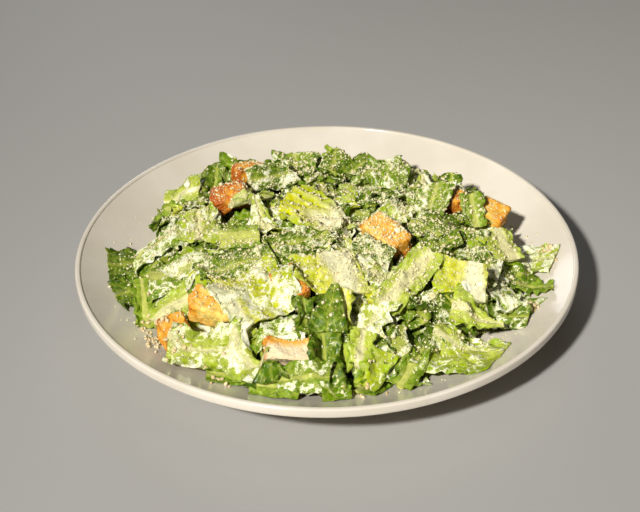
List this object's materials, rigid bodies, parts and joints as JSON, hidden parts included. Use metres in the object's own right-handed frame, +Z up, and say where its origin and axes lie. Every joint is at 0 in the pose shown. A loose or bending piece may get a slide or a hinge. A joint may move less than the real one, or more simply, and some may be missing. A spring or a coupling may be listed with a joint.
{
  "type": "caesar salad on a plate",
  "caption": "Heap of chopped, dressed romaine with toasted bread croutons and grated hard cheese, served on a round coupe plate.",
  "frame": {"origin": "on the plate's axis, at the level of its foot", "axes": "+Z up along the plate's axis; the salad's front, as served, faces -Y"},
  "size_m": [0.28, 0.28, 0.0618],
  "materials": {
    "glaze": "bone-white glaze, satin to glossy",
    "leaves": "moist romaine leaf coated with creamy dressing",
    "toast": "dry toasted bread crust"
  },
  "bodies": {
    "root": {"plate": "glaze", "salad_heap": "leaves", "crouton_1": "toast", "crouton_2": "toast", "crouton_3": "toast", "crouton_4": "toast", "crouton_5": "toast", "crouton_6": "toast", "crouton_7": "toast", "crouton_8": "toast", "crouton_9": "toast"}
  },
  "joints": []
}
